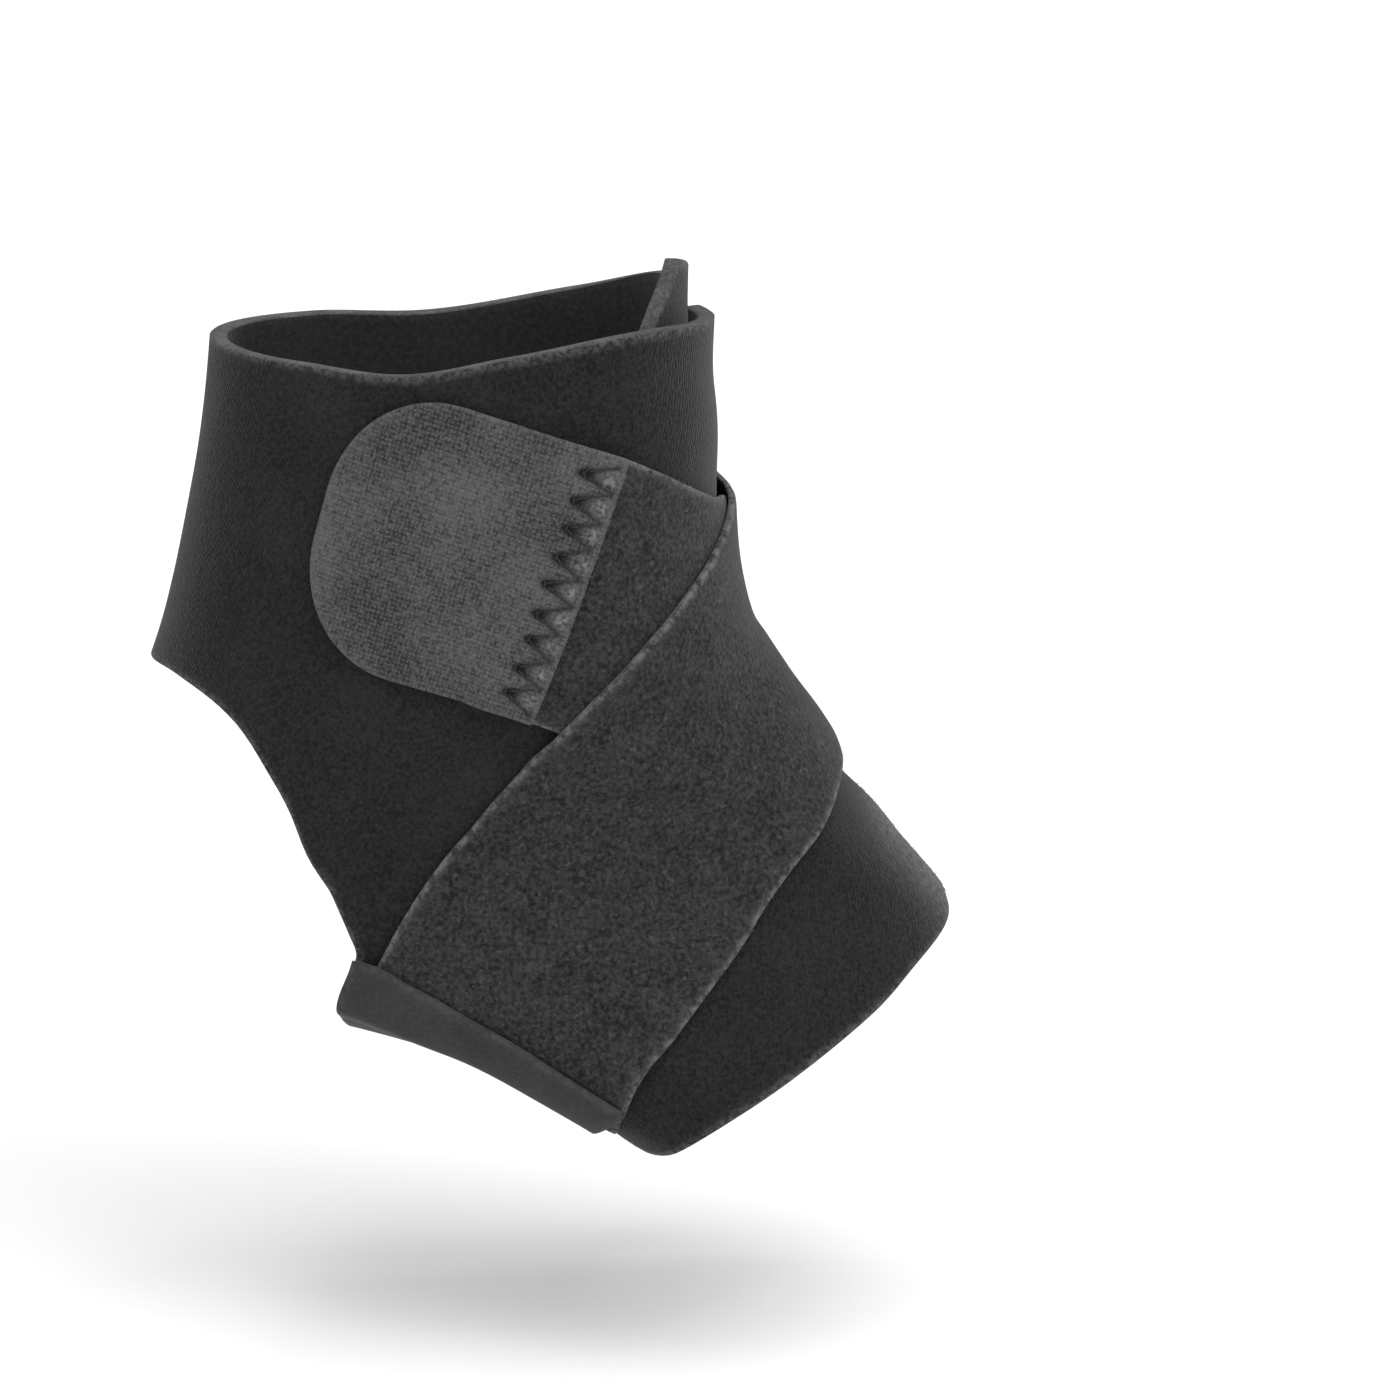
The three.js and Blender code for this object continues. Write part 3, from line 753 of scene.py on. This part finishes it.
def strapNet(course, extra, phase):
    columns, rows = strap["columns"], strap["rows"]
    end = course.length - tab["length"] + strap["hem"]
    aside = strap["width"] * (np.arange(columns + 1) / columns - 0.5)
    start = startOfLine(course, aside)
    row = np.linspace(0, 1, rows + 1)[:, None]
    distance = start + (end - start) * row
    aside = np.broadcast_to(aside, distance.shape)
    toSide = np.abs(2 * aside / strap["width"])
    sway = sum(size * np.sin(distance / length + times * phase) for size, length, times in strap["sway"])
    station, angle = course.place(distance, aside + sway * toSide**4 * np.sign(aside))
    low = bed(station, angle) + extra(station, angle)
    thinning = strap["edgeThinning"]
    thin = thinning["depth"] * np.clip((toSide - thinning["from"]) / thinning["over"], 0, 1) ** 2
    flat = np.stack([distance.ravel(), aside.ravel()], axis=1)
    return {
        "station": station.ravel(), "angle": angle.ravel(), "low": low.ravel(),
        "high": (low + cloth["strap"] - thin).ravel(), "cells": gridCells(rows, columns), "flat": flat,
    }


# A tab lies over a strap's end: square and zigzag sewn at one end, rounded at the other.
tab = {
    "length": 50.4,
    "corner": 21.0,
    "bridge": (1, 7),  # mm past the strap's end between which the tab comes down
    "columns": 150,
    "rows": 140,
    "sideCrowding": (0.65, 0.35),  # shares of even and of crowded spacing, finer at the sides
    "endCrowding": (0.7, 0.3),  # and at the square end
    "rim": {"bulge": 0.35, "rings": thinRings, "edgeLighteningMm": 0.6},
}
# Its seam, in mm from the square end. Pits and puffs of cloth lie before the far tips. The groove and the
# pits get painted shade, the puffs a painted highlight.
zigzag = {
    "teeth": 9, "margin": 1.5, "near": 1.1, "far": 6.9, "unevenness": 0.25, "legPoints": 9,
    "groove": {"depth": 0.4, "width": 0.75, "darkWidth": 0.6, "darkness": 0.5},
    "pit": {"depth": 0.6, "width": 0.9, "before": 1.1, "stretch": (1.9, 1.0), "darkness": 0.85},
    "puff": {"depth": 0.4, "width": 1.15, "before": 4.9, "stretch": (1.0, 1.25)},
}


def zigzagCorners():
    half = strap["width"] / 2 - zigzag["margin"]
    count = 2 * zigzag["teeth"] + 1
    tooth = np.arange(count)
    along = np.where(tooth % 2 == 0, zigzag["near"], zigzag["far"])
    uneven = zigzag["unevenness"] * np.stack([np.sin(2.3 * tooth), np.sin(1.7 * tooth + 1)], axis=1)
    return np.stack([along, np.linspace(-half, half, count)], axis=1) + uneven


def distanceToPath(points, corners):
    nearest = np.full(len(points), 1e9)
    for start, end in zip(corners, corners[1:]):
        leg = end - start
        share = np.clip(((points - start) @ leg) / (leg @ leg), 0, 1)
        nearest = np.minimum(nearest, np.linalg.norm(points - start - share[:, None] * leg, axis=1))
    return nearest


# A soft spot before each tip of the seam, 1 at its middle.
def spotsAt(points, tips, spot):
    middles = tips - [spot["before"], 0]
    away = np.min([np.linalg.norm((points - middle) / spot["stretch"], axis=1) for middle in middles], axis=0)
    return np.exp(-(away / spot["width"]) ** 2)


def tabBed(course, extra, along, aside):
    station, angle = course.place(course.length - tab["length"] + along, aside)
    raised, level = tab["bridge"]
    overEnd = strapClimb * climb((strap["hem"] + level - along) / (level - raised))
    return station, angle, bed(station, angle) + overEnd + extra(station, angle)


def tabNet(course, extra):
    columns, rows = tab["columns"], tab["rows"]
    half = strap["width"] / 2
    even = np.linspace(-1, 1, columns + 1)
    evenShare, crowdedShare = tab["sideCrowding"]
    aside = half * (crowdedShare * np.sin(even * math.pi / 2) + evenShare * even)
    inCorner = np.maximum(0, np.abs(aside) - half + tab["corner"]) / tab["corner"]
    reach = tab["length"] - tab["corner"] * (1 - np.sqrt(np.maximum(0, 1 - inCorner**2)))
    row = np.linspace(0, 1, rows + 1)[:, None]
    evenShare, crowdedShare = tab["endCrowding"]
    along = reach * (evenShare * row + crowdedShare * row**2)
    aside = np.broadcast_to(aside, along.shape)
    station, angle, low = tabBed(course, extra, along, aside)
    flat = np.stack([along.ravel(), aside.ravel()], axis=1)
    corners = zigzagCorners()
    seam = distanceToPath(flat, corners)
    groove, pit, puff = zigzag["groove"], zigzag["pit"], zigzag["puff"]
    sunk = np.exp(-((seam / groove["width"]) ** 2))
    pitted, puffed = spotsAt(flat, corners[1::2], pit), spotsAt(flat, corners[1::2], puff)
    top = cloth["tab"] - groove["depth"] * sunk - pit["depth"] * pitted + puff["depth"] * puffed
    # Colour only: painted shade along the groove and a painted shadow in each pit.
    dark = groove["darkness"] * np.exp(-((seam / groove["darkWidth"]) ** 2)) + pit["darkness"] * pitted
    return {
        "station": station.ravel(), "angle": angle.ravel(), "low": low.ravel(), "high": low.ravel() + top,
        "cells": gridCells(rows, columns), "flat": flat,
        "fields": {"seamShade": np.clip(dark, 0, 1), "puff": puffed},
    }


pieces = {}
for name, net, rim, finishes in (
    ("neoprene_wrap_cloth", wrapNet(), wrap["rim"], ["jersey", "lining", "foam"]),
    ("sole_panel_cloth", bandNet(), band["rim"], ["smooth"] * 3),
    ("medial_strap_cloth", strapNet(medialCourse, flatOnWrap, 0.4), strap["rim"], ["loop"] * 3),
    ("lateral_strap_cloth", strapNet(lateralCourse, overMedialStrap, 1.9), strap["rim"], ["loop"] * 3),
    ("lateral_tab_cloth", tabNet(medialCourse, flatOnWrap), tab["rim"], ["woven"] * 3),
    ("medial_tab_cloth", tabNet(lateralCourse, overMedialStrap), tab["rim"], ["woven"] * 3),
):
    pieces[name] = clothPiece(name, net, rim, finishes)
print("cloth made")


# A unit length of thread along X, as thick as it is long, for stitches and loose fibres to stretch.
def threadShape(name, rings, sides, bend, taper, tip=0.04):
    points, faces = [], []
    for ring in range(rings + 1):
        share = ring / rings
        radius = 0.5 * math.sin(math.pi * min(max(share, tip), 1 - tip)) ** taper
        for side in range(sides):
            turn = 2 * math.pi * side / sides
            rise = bend * math.sin(math.pi * share)
            points.append((share - 0.5, radius * math.cos(turn) + rise, radius * math.sin(turn)))
    for ring in range(rings):
        for side in range(sides):
            a, b = ring * sides + side, ring * sides + (side + 1) % sides
            faces.append((a, b, b + sides, a + sides))
    faces.append(tuple(reversed(range(sides))))
    faces.append(tuple(rings * sides + side for side in range(sides)))
    return addPiece(name, smoothMesh(name, points, faces))


# Geometry nodes that repeat a shape along polylines, turned and stretched at random round their run.
def repeatAlongPath():
    group = bpy.data.node_groups.new("repeatAlongPath", "GeometryNodeTree")
    for name, kind in (
        ("Path", "Geometry"), ("Shape", "Object"), ("Spacing", "Float"), ("Length", "Float"),
        ("Thickness", "Float"), ("Turn", "Float"), ("Spread", "Float"), ("Seed", "Int"),
        ("Finish", "Material"),
    ):
        group.interface.new_socket(name, in_out="INPUT", socket_type="NodeSocket" + kind)
    group.interface.new_socket("Thread", in_out="OUTPUT", socket_type="NodeSocketGeometry")
    given = addNode(group, "NodeGroupInput").outputs
    curve = addNode(group, "GeometryNodeMeshToCurve", {0: given["Path"]})
    spaced = addNode(group, "GeometryNodeResampleCurve", {
        "Curve": curve, "Length": given["Spacing"],
    }, mode="LENGTH")
    points = addNode(group, "GeometryNodeCurveToPoints", {0: spaced}, mode="EVALUATED")
    aligned = addNode(group, "FunctionNodeAlignRotationToVector", {
        "Vector": points.outputs["Tangent"],
    }, axis="X")
    least = addNode(group, "ShaderNodeMath", {0: given["Turn"], 1: -1.0}, operation="MULTIPLY")
    low = addNode(group, "ShaderNodeCombineXYZ", {"X": 0.0, "Y": least, "Z": least})
    high = addNode(group, "ShaderNodeCombineXYZ", {"X": 0.0, "Y": given["Turn"], "Z": given["Turn"]})
    turned = addNode(group, "FunctionNodeRandomValue", {
        0: low, 1: high, "Seed": given["Seed"],
    }, data_type="FLOAT_VECTOR")
    toTurn = addNode(group, "FunctionNodeEulerToRotation", {0: turned})
    rotation = addNode(group, "FunctionNodeRotateRotation", {0: aligned, 1: toTurn}, rotation_space="LOCAL")
    shortest = addNode(group, "ShaderNodeMath", {0: 1.0, 1: given["Spread"]}, operation="SUBTRACT")
    longest = addNode(group, "ShaderNodeMath", {0: 1.0, 1: given["Spread"]}, operation="ADD")
    share = addNode(group, "FunctionNodeRandomValue", {2: shortest, 3: longest, "Seed": given["Seed"]})
    length = addNode(group, "ShaderNodeMath", {0: given["Length"], 1: share.outputs[1]}, operation="MULTIPLY")
    size = addNode(group, "ShaderNodeCombineXYZ", {
        "X": length, "Y": given["Thickness"], "Z": given["Thickness"],
    })
    shape = addNode(group, "GeometryNodeObjectInfo", {"Object": given["Shape"]})
    placed = addNode(group, "GeometryNodeInstanceOnPoints", {
        "Points": points, "Instance": shape.outputs["Geometry"], "Rotation": rotation, "Scale": size,
    })
    real = addNode(group, "GeometryNodeRealizeInstances", {0: placed})
    painted = addNode(group, "GeometryNodeSetMaterial", {"Geometry": real, "Material": given["Finish"]})
    addNode(group, "NodeGroupOutput", {0: painted})
    return group


threadNodes = repeatAlongPath()
stitchPattern = threadShape("stitch_pattern", rings=7, sides=8, bend=0.0, taper=0.45)
fibrePattern = threadShape("fibre_pattern", rings=5, sides=4, bend=1.6, taper=0.3)


# Threads laid end to end or scattered along lines. Lengths of a run are in mm, its turn in radians.
def threadAlong(name, lines, pattern, run):
    points, edges = [], []
    for line in lines:
        first = len(points)
        points.extend((line / 1000).tolist())
        edges.extend((first + k, first + k + 1) for k in range(len(line) - 1))
    mesh = bpy.data.meshes.new(name + "_path")
    mesh.from_pydata(points, edges, [])
    path = addPiece(name + "_path", mesh)
    modifier = path.modifiers.new("thread", "NODES")
    modifier.node_group = threadNodes
    values = {"Shape": pattern, "Finish": materials[run["finish"]]}
    values.update({socket: run[socket.lower()] / 1000 for socket in ("Spacing", "Length", "Thickness")})
    values.update({socket: run[socket.lower()] for socket in ("Turn", "Spread", "Seed")})
    for item in threadNodes.interface.items_tree:
        if item.item_type == "SOCKET" and item.in_out == "INPUT" and item.name in values:
            modifier[item.identifier] = values[item.name]
    bpy.context.view_layer.update()
    done = path.evaluated_get(bpy.context.evaluated_depsgraph_get())
    made = bpy.data.meshes.new_from_object(done)
    bpy.data.objects.remove(path)
    made.name = name
    return addPiece(name, made)


stitches = {
    "spacing": 1.55, "length": 1.5, "thickness": 0.34, "turn": 0.03, "spread": 0.02, "seed": 3,
    "finish": "thread", "lift": 0.06,  # mm over the bottom of the groove
}
fray = {"spread": 0.5, "finish": "fibre"}
strapFray = {
    **fray, "spacing": 0.34, "length": 1.25, "thickness": 0.085, "turn": 0.55, "seed": 11,
    "height": 0.72, "step": 2.0,  # share of the cloth's thickness, and mm between points of the line
}
tabFray = {
    **fray, "spacing": 0.24, "length": 1.1, "thickness": 0.08, "turn": 0.9, "seed": 17,
    "height": 0.75, "reach": 0.49, "points": 40, "along": -0.1,  # reach is a share of the width
}
wingFray = {
    **fray, "spacing": 0.22, "length": 1.9, "thickness": 0.09, "turn": 0.7, "seed": 23,
    "stations": (9.6, 13.4), "points": 60, "inset": 0.5, "below": 0.25,  # in degrees and in mm
}


def zigzagLine(course, extra):
    corners = zigzagCorners()
    legs = [np.linspace(start, end, zigzag["legPoints"])[:-1] for start, end in zip(corners, corners[1:])]
    path = np.concatenate([*legs, corners[-1:]])
    station, angle, low = tabBed(course, extra, path[:, 0], path[:, 1])
    return [dented(station, angle, low + cloth["tab"] - zigzag["groove"]["depth"] + stitches["lift"])]


# The two long edges of a strap, at the height of its upper corner.
def strapEdges(course, extra):
    lines = []
    for aside in (-strap["width"] / 2, strap["width"] / 2):
        start = startOfLine(course, np.array([aside]))[0]
        distance = np.arange(start, course.length - tab["length"], strapFray["step"])
        station, angle = course.place(distance, np.full_like(distance, aside))
        height = bed(station, angle) + extra(station, angle) + strapFray["height"] * cloth["strap"]
        lines.append(dented(station, angle, height))
    return lines


def tabSquareEnd(course, extra):
    aside = np.linspace(-tabFray["reach"], tabFray["reach"], tabFray["points"]) * strap["width"]
    station, angle, low = tabBed(course, extra, np.full_like(aside, tabFray["along"]), aside)
    return [dented(station, angle, low + tabFray["height"] * cloth["tab"])]


def wingFootEdge():
    station = np.linspace(*wingFray["stations"], wingFray["points"])
    angle = outerEdgeAngle(station) + wingFray["inset"]
    return [dented(station, angle, wrapUnderside(station, angle) + cloth["neoprene"] - wingFray["below"])]


for side, course, extra, tabCourse, tabExtra in (
    ("medial", medialCourse, flatOnWrap, lateralCourse, overMedialStrap),
    ("lateral", lateralCourse, overMedialStrap, medialCourse, flatOnWrap),
):
    for name, lines, pattern, run in (
        (side + "_tab_zigzag", zigzagLine(tabCourse, tabExtra), stitchPattern, stitches),
        (side + "_strap_fray", strapEdges(course, extra), fibrePattern, strapFray),
        (side + "_tab_fray", tabSquareEnd(tabCourse, tabExtra), fibrePattern, tabFray),
    ):
        pieces[name] = threadAlong(name, lines, pattern, run)
pieces["wing_edge_fray"] = threadAlong("wing_edge_fray", wingFootEdge(), fibrePattern, wingFray)
bpy.data.objects.remove(stitchPattern)
bpy.data.objects.remove(fibrePattern)
print("threads made")

for piece in pieces.values():
    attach(piece, "root")

strapSheet = ("loop_elastic", (0.0508, 0.188), None)
tabSheet = ("hook_tape", (0.0508, 0.0504), 0.00237)
# CAD node that each cloth stands for, its slot, its flat size and area in metres, and what goes with it.
standsFor = {
    "neoprene_wrap_cloth": ("neoprene_wrap", "neoprene", (0.19, 0.33), 0.0416, ["wing_edge_fray"]),
    "sole_panel_cloth": ("sole_panel", "smooth_knit", (0.052, 0.087), None, []),
    "medial_strap_cloth": ("medial_strap", *strapSheet, ["medial_strap_fray"]),
    "lateral_strap_cloth": ("lateral_strap", *strapSheet, ["lateral_strap_fray"]),
    "lateral_tab_cloth": ("lateral_hook_tab", *tabSheet, ["lateral_tab_zigzag", "lateral_tab_fray"]),
    "medial_tab_cloth": ("medial_hook_tab", *tabSheet, ["medial_tab_zigzag", "medial_tab_fray"]),
}
for name, (node, slotName, flatSize, flatArea, company) in standsFor.items():
    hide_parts(node)

# Plain white floor that curves up behind, in metres, below the brace, which is held up as worn.
floor = {
    "level": -0.130, "front": -2.2, "back": 3.2, "halfWidth": 3.5, "curve": 1.0, "curveRows": 14, "top": 2.6,
    "color": "#ffffff", "roughness": 0.9, "specular": 0.5, "sheen": 0.0, "sheenRoughness": 0.5,
}


def studioFloor():
    profile = [(floor["front"], 0.0)]
    for turn in np.radians(np.linspace(0, 90, floor["curveRows"])):
        y, z = floor["back"] - floor["curve"] * (1 - math.sin(turn)), floor["curve"] * (1 - math.cos(turn))
        profile.append((y, z))
    profile.append((floor["back"], floor["top"]))
    sides = (-floor["halfWidth"], floor["halfWidth"])
    points = [(x, y, z + floor["level"]) for y, z in profile for x in sides]
    faces = [(2 * k, 2 * k + 1, 2 * k + 3, 2 * k + 2) for k in range(len(profile) - 1)]
    mesh = smoothMesh("studio_floor", points, faces)
    material, _, shader = newMaterial("matt_paper", floor)
    shader.inputs["Base Color"].default_value = srgb(floor["color"])
    mesh.materials.append(material)
    addPiece("studio_floor", mesh)


studioFloor()

# Camera square to the outer side and a little above the ankle.
view = {
    "elevation": 13.0, "distance": 1.6, "target": (0.0442, 0.0, -0.0151), "pixelsPerMetre": 5430.0,
    "frame": 1400.0, "sensorMm": 36.0,
}
tilt = math.radians(view["elevation"])
target = Vector(view["target"])
camera = bpy.data.objects.new("camera", bpy.data.cameras.new("camera"))
bpy.context.scene.collection.objects.link(camera)
camera.location = target + view["distance"] * Vector((0, -math.cos(tilt), math.sin(tilt)))
camera.rotation_euler = (target - camera.location).to_track_quat("-Z", "Y").to_euler()
camera.data.sensor_width = view["sensorMm"]
camera.data.lens = view["sensorMm"] * view["pixelsPerMetre"] * view["distance"] / view["frame"]
camera.data.clip_end = 50
bpy.context.scene.camera = camera

# Soft boxes: place, size in metres, power in watts and what they point at.
lights = {
    "key_light": ((1.15, -1.2, 1.35), (1.4, 1.4), 16, target),
    "fill_light": ((-1.5, -1.2, 0.7), (1.4, 1.4), 6, target),
    "top_light": ((0.55, -0.35, 1.9), (1.5, 1.2), 15, target),
    "wall_light": ((0, 0.9, 2.2), (2.5, 0.6), 30, (0, 3.2, 0.9)),  # for a clean white behind the brace
}
sky = {"color": (1, 1, 1, 1), "strength": 0.6}
for name, (location, size, power, aim) in lights.items():
    light = bpy.data.objects.new(name, bpy.data.lights.new(name, "AREA"))
    light.data.shape = "RECTANGLE"
    light.data.size, light.data.size_y = size
    light.data.energy = power
    light.location = location
    light.rotation_euler = (Vector(aim) - Vector(location)).to_track_quat("-Z", "Y").to_euler()
    bpy.context.scene.collection.objects.link(light)
world = bpy.data.worlds.new("studio")
world.use_nodes = True
background = world.node_tree.nodes["Background"]
background.inputs["Color"].default_value = sky["color"]
background.inputs["Strength"].default_value = sky["strength"]
bpy.context.scene.world = world
bpy.context.scene.view_settings.view_transform = "Standard"
print("stage made")
